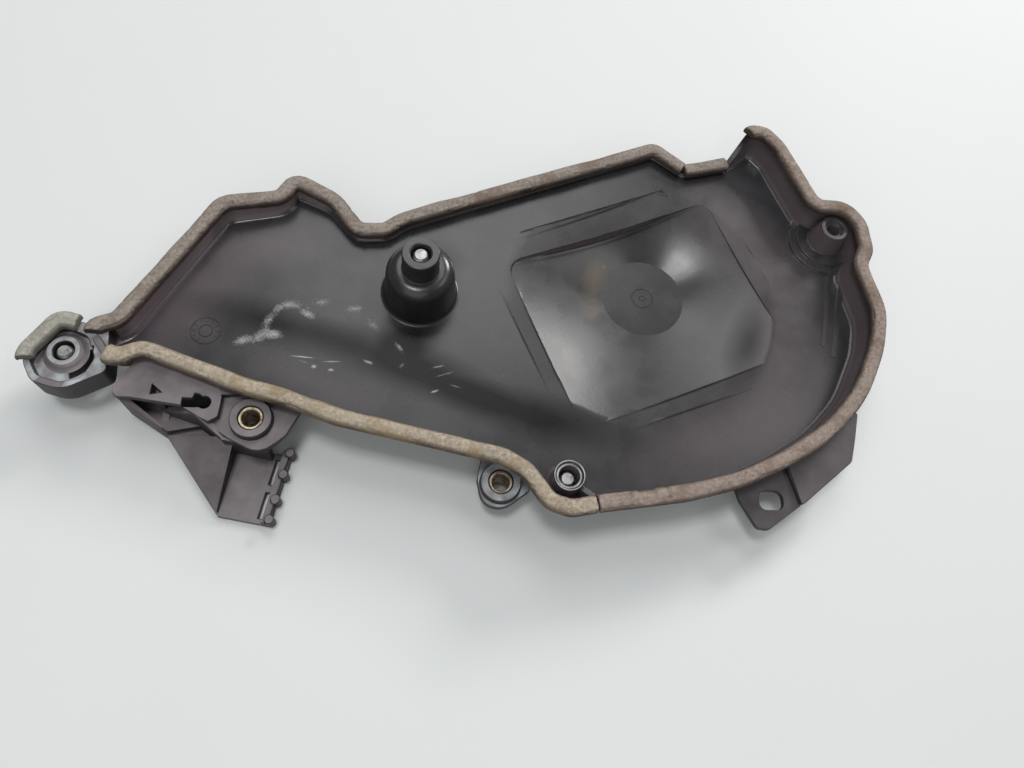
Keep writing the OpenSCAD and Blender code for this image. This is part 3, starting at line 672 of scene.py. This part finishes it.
def passivated_steel():
    """Yellow passivated steel, pressed: a dull gold metal with brown stains."""
    material, tree, shader, place = new_material("steel_pressed_yellow_passivated")
    blotch = add(tree, "TexNoise", {"Vector": place, "Scale": 1 / PASSIVATE_SIZE, "Detail": 5,
                                    "Roughness": 0.65})
    stain = add(tree, "MapRange", {"Value": blotch.outputs["Fac"], "From Min": 0.42, "From Max": 0.68})
    colour = add(tree, "MixRGB", {"Fac": stain.outputs["Result"], "Color1": linear(PASSIVATE_GOLD),
                                  "Color2": linear(PASSIVATE_STAIN)})
    tree.links.new(colour.outputs["Color"], shader.inputs["Base Color"])
    rough = add(tree, "MapRange", {"Value": blotch.outputs["Fac"], "From Min": 0.35, "From Max": 0.7,
                                   "To Min": 0.35, "To Max": 0.65})
    tree.links.new(rough.outputs["Result"], shader.inputs["Roughness"])
    shader.inputs["Metallic"].default_value = 0.85
    return material


PASSIVATED = passivated_steel()
for node in ("sleeve_bracket", "sleeve_lug"):
    sleeve = new_piece("steel_" + node, sleeve_mesh(node))
    sleeve.data.materials.append(PASSIVATED)
    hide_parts(node)

# The captive bolts: M6 flanged hexagon bolts, cold headed with rolled threads and zinc plated.
# Each hangs in its bore with the head on the outer side, and its tip shows in the mouth.

HEX_AF = 8 * MM
HEX_H = 4.6 * MM
HEX_CHAMFER = 0.5 * MM
HEX_END_SHARE = 0.92
FLANGE_R = 6.5 * MM
FLANGE_T = 1.4 * MM
# The flange's back slopes out to its rim, whose edge is broken where it seats
RIM_RUN = 0.5 * MM
RIM_START = 0.3 * MM
RIM_END = 0.7 * MM
SEAT_BREAK = 0.1 * MM
SHANK_R = 3 * MM
PLAIN_SHANK = 1.5 * MM
TIP_CHAMFER = 0.8 * MM
PITCH = 1.0 * MM
THREAD_DEPTH = 0.61 * MM
THREAD_FLAT = 0.12
STEPS_PER_PITCH = 10
# Both ends of the skin start as a pinhole, which the weld closes
PINHOLE_R = 0.001 * MM
BOLT_FOLD = math.radians(28)
ZINC_BRIGHT = "a9aaa9"
ZINC_DULL = "6f6d69"
TARNISH_SIZE = 1.8 * MM


def bolt_mesh(node):
    """Head, flange and threaded shank in one skin, turned about the bolt's axis."""
    low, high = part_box(node)
    back = low.z + HEX_H
    seat = back + FLANGE_T

    def hexagon(t):
        return HEX_AF / 2 / math.cos((t % (math.pi / 3)) - math.pi / 6)

    def thread(z):
        grow = min(max((z - seat - PLAIN_SHANK) / PITCH, 0), 1)

        def radius(t):
            wave = abs(((z / PITCH - t / (2 * math.pi)) % 1) * 2 - 1)
            depth = THREAD_DEPTH * min(max((wave - THREAD_FLAT) / (1 - 2 * THREAD_FLAT), 0), 1)
            return min(SHANK_R - depth * grow, SHANK_R - TIP_CHAMFER + high.z - z)
        return radius

    rings = [
        (PINHOLE_R, low.z), (HEX_AF / 2 * HEX_END_SHARE, low.z), (hexagon, low.z + HEX_CHAMFER),
        (hexagon, back), (FLANGE_R - RIM_RUN, back + RIM_START), (FLANGE_R, back + RIM_END),
        (FLANGE_R, seat - SEAT_BREAK), (FLANGE_R - SEAT_BREAK, seat), (SHANK_R, seat)]
    steps = int((high.z - seat) / (PITCH / STEPS_PER_PITCH))
    heights = [seat + (high.z - seat) * k / steps for k in range(1, steps + 1)]
    rings += [(thread(z), z) for z in heights]
    rings.append((PINHOLE_R, high.z))
    bm = bmesh.new()
    turned(bm, rings)
    bmesh.ops.translate(bm, verts=bm.verts, vec=((low.x + high.x) / 2, (low.y + high.y) / 2, 0))
    bmesh.ops.remove_doubles(bm, verts=bm.verts, dist=WELD)
    return smooth_mesh(bm, node, BOLT_FOLD)


def zinc_steel():
    """Zinc plated steel, rolled: a bright grey metal with a soft grain and dull patches."""
    material, tree, shader, place = new_material("steel_rolled_zinc_plated")
    blotch = add(tree, "TexNoise", {"Vector": place, "Scale": 1 / TARNISH_SIZE, "Detail": 4})
    tarnish = add(tree, "MapRange", {"Value": blotch.outputs["Fac"], "From Min": 0.4, "From Max": 0.7})
    colour = add(tree, "MixRGB", {"Fac": tarnish.outputs["Result"], "Color1": linear(ZINC_BRIGHT),
                                  "Color2": linear(ZINC_DULL)})
    tree.links.new(colour.outputs["Color"], shader.inputs["Base Color"])
    shader.inputs["Metallic"].default_value = 1
    shader.inputs["Roughness"].default_value = 0.42
    return material


ZINC = zinc_steel()
for node in ("bolt_tower", "bolt_ear", "bolt_boss"):
    bolt = new_piece("captive_" + node, bolt_mesh(node))
    bolt.data.materials.append(ZINC)
    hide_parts(node)

# The table, the lights and the camera: a plain pale top of painted board, a low window at the far right,
# broad lights from the ceiling and the walls and a small bulb overhead, and a view from the near side.

TABLE_COOL = "cdd0d0"
TABLE_PALE = "d1d3d2"
TABLE_CLOUD = 90 * MM
TABLE_HALF = 3
TABLE_GAP = 0.02 * MM
DAYLIGHT = (1, 0.99, 0.97)
WHITE = (1, 1, 1)
SKYLIGHT = (0.97, 0.99, 1)
SKY_STRENGTH = 0.17
LAMP_AIM = Vector((0.09, 0.05, 0))
# Each lamp's place and side in metres, its power in watts and its colour
LAMPS = {
    "window": ((1.36, 1.52, 1.03), 0.56, 28, DAYLIGHT),
    "side_wall": ((0.98, 0.25, 1.2), 0.6, 2.8, DAYLIGHT),
    "ceiling": ((0.08, 0.97, 1.3), 0.8, 7, WHITE),
    "bulb": ((-0.2, 0.06, 1.6), 0.34, 8.5, WHITE),
    "near_wall": ((-0.3, -1.1, 1.2), 1.6, 9, SKYLIGHT),
}
CAMERA_AT = Vector((62.2943, -100.8072, 281)) * MM
# The camera looks down, tipped up towards the far side and leaning to one side, in degrees
CAMERA_TIP = 22.7824
CAMERA_LEAN = -6.7045


def table_top():
    """Painted board, rolled: an off-white matt face with a faint unevenness."""
    material, tree, shader, place = new_material("painted_board_matt")
    cloud = add(tree, "TexNoise", {"Vector": place, "Scale": 1 / TABLE_CLOUD, "Detail": 3})
    colour = add(tree, "MixRGB", {"Fac": cloud.outputs["Fac"], "Color1": linear(TABLE_COOL),
                                  "Color2": linear(TABLE_PALE)})
    tree.links.new(colour.outputs["Color"], shader.inputs["Base Color"])
    shader.inputs["Roughness"].default_value = 0.7
    return material


bm = bmesh.new()
bmesh.ops.create_grid(bm, x_segments=1, y_segments=1, size=TABLE_HALF)
bmesh.ops.translate(bm, verts=bm.verts, vec=(0, 0, cad_low.z - TABLE_GAP))
table_mesh = bpy.data.meshes.new("table")
bm.to_mesh(table_mesh)
bm.free()
table = bpy.data.objects.new("table", table_mesh)
table.data.materials.append(table_top())
scene.collection.objects.link(table)

for name, (at, side, power, colour) in LAMPS.items():
    lamp = bpy.data.lights.new(name, "AREA")
    lamp.size = side
    lamp.energy = power
    lamp.color = colour
    light = bpy.data.objects.new(name, lamp)
    light.location = at
    light.rotation_euler = (LAMP_AIM - Vector(at)).to_track_quat("-Z", "Y").to_euler()
    scene.collection.objects.link(light)
world = bpy.data.worlds.new("room")
world.use_nodes = True
sky = world.node_tree.nodes["Background"]
sky.inputs["Color"].default_value = (*SKYLIGHT, 1)
sky.inputs["Strength"].default_value = SKY_STRENGTH
scene.world = world
scene.view_settings.view_transform = "Standard"

camera_data = bpy.data.cameras.new("camera")
camera_data.sensor_width = 36
camera_data.lens = 28.125
camera_data.clip_start = 10 * MM
camera = bpy.data.objects.new("camera", camera_data)
camera.location = CAMERA_AT
camera.rotation_euler = (math.radians(CAMERA_TIP), math.radians(CAMERA_LEAN), 0)
scene.collection.objects.link(camera)
scene.camera = camera
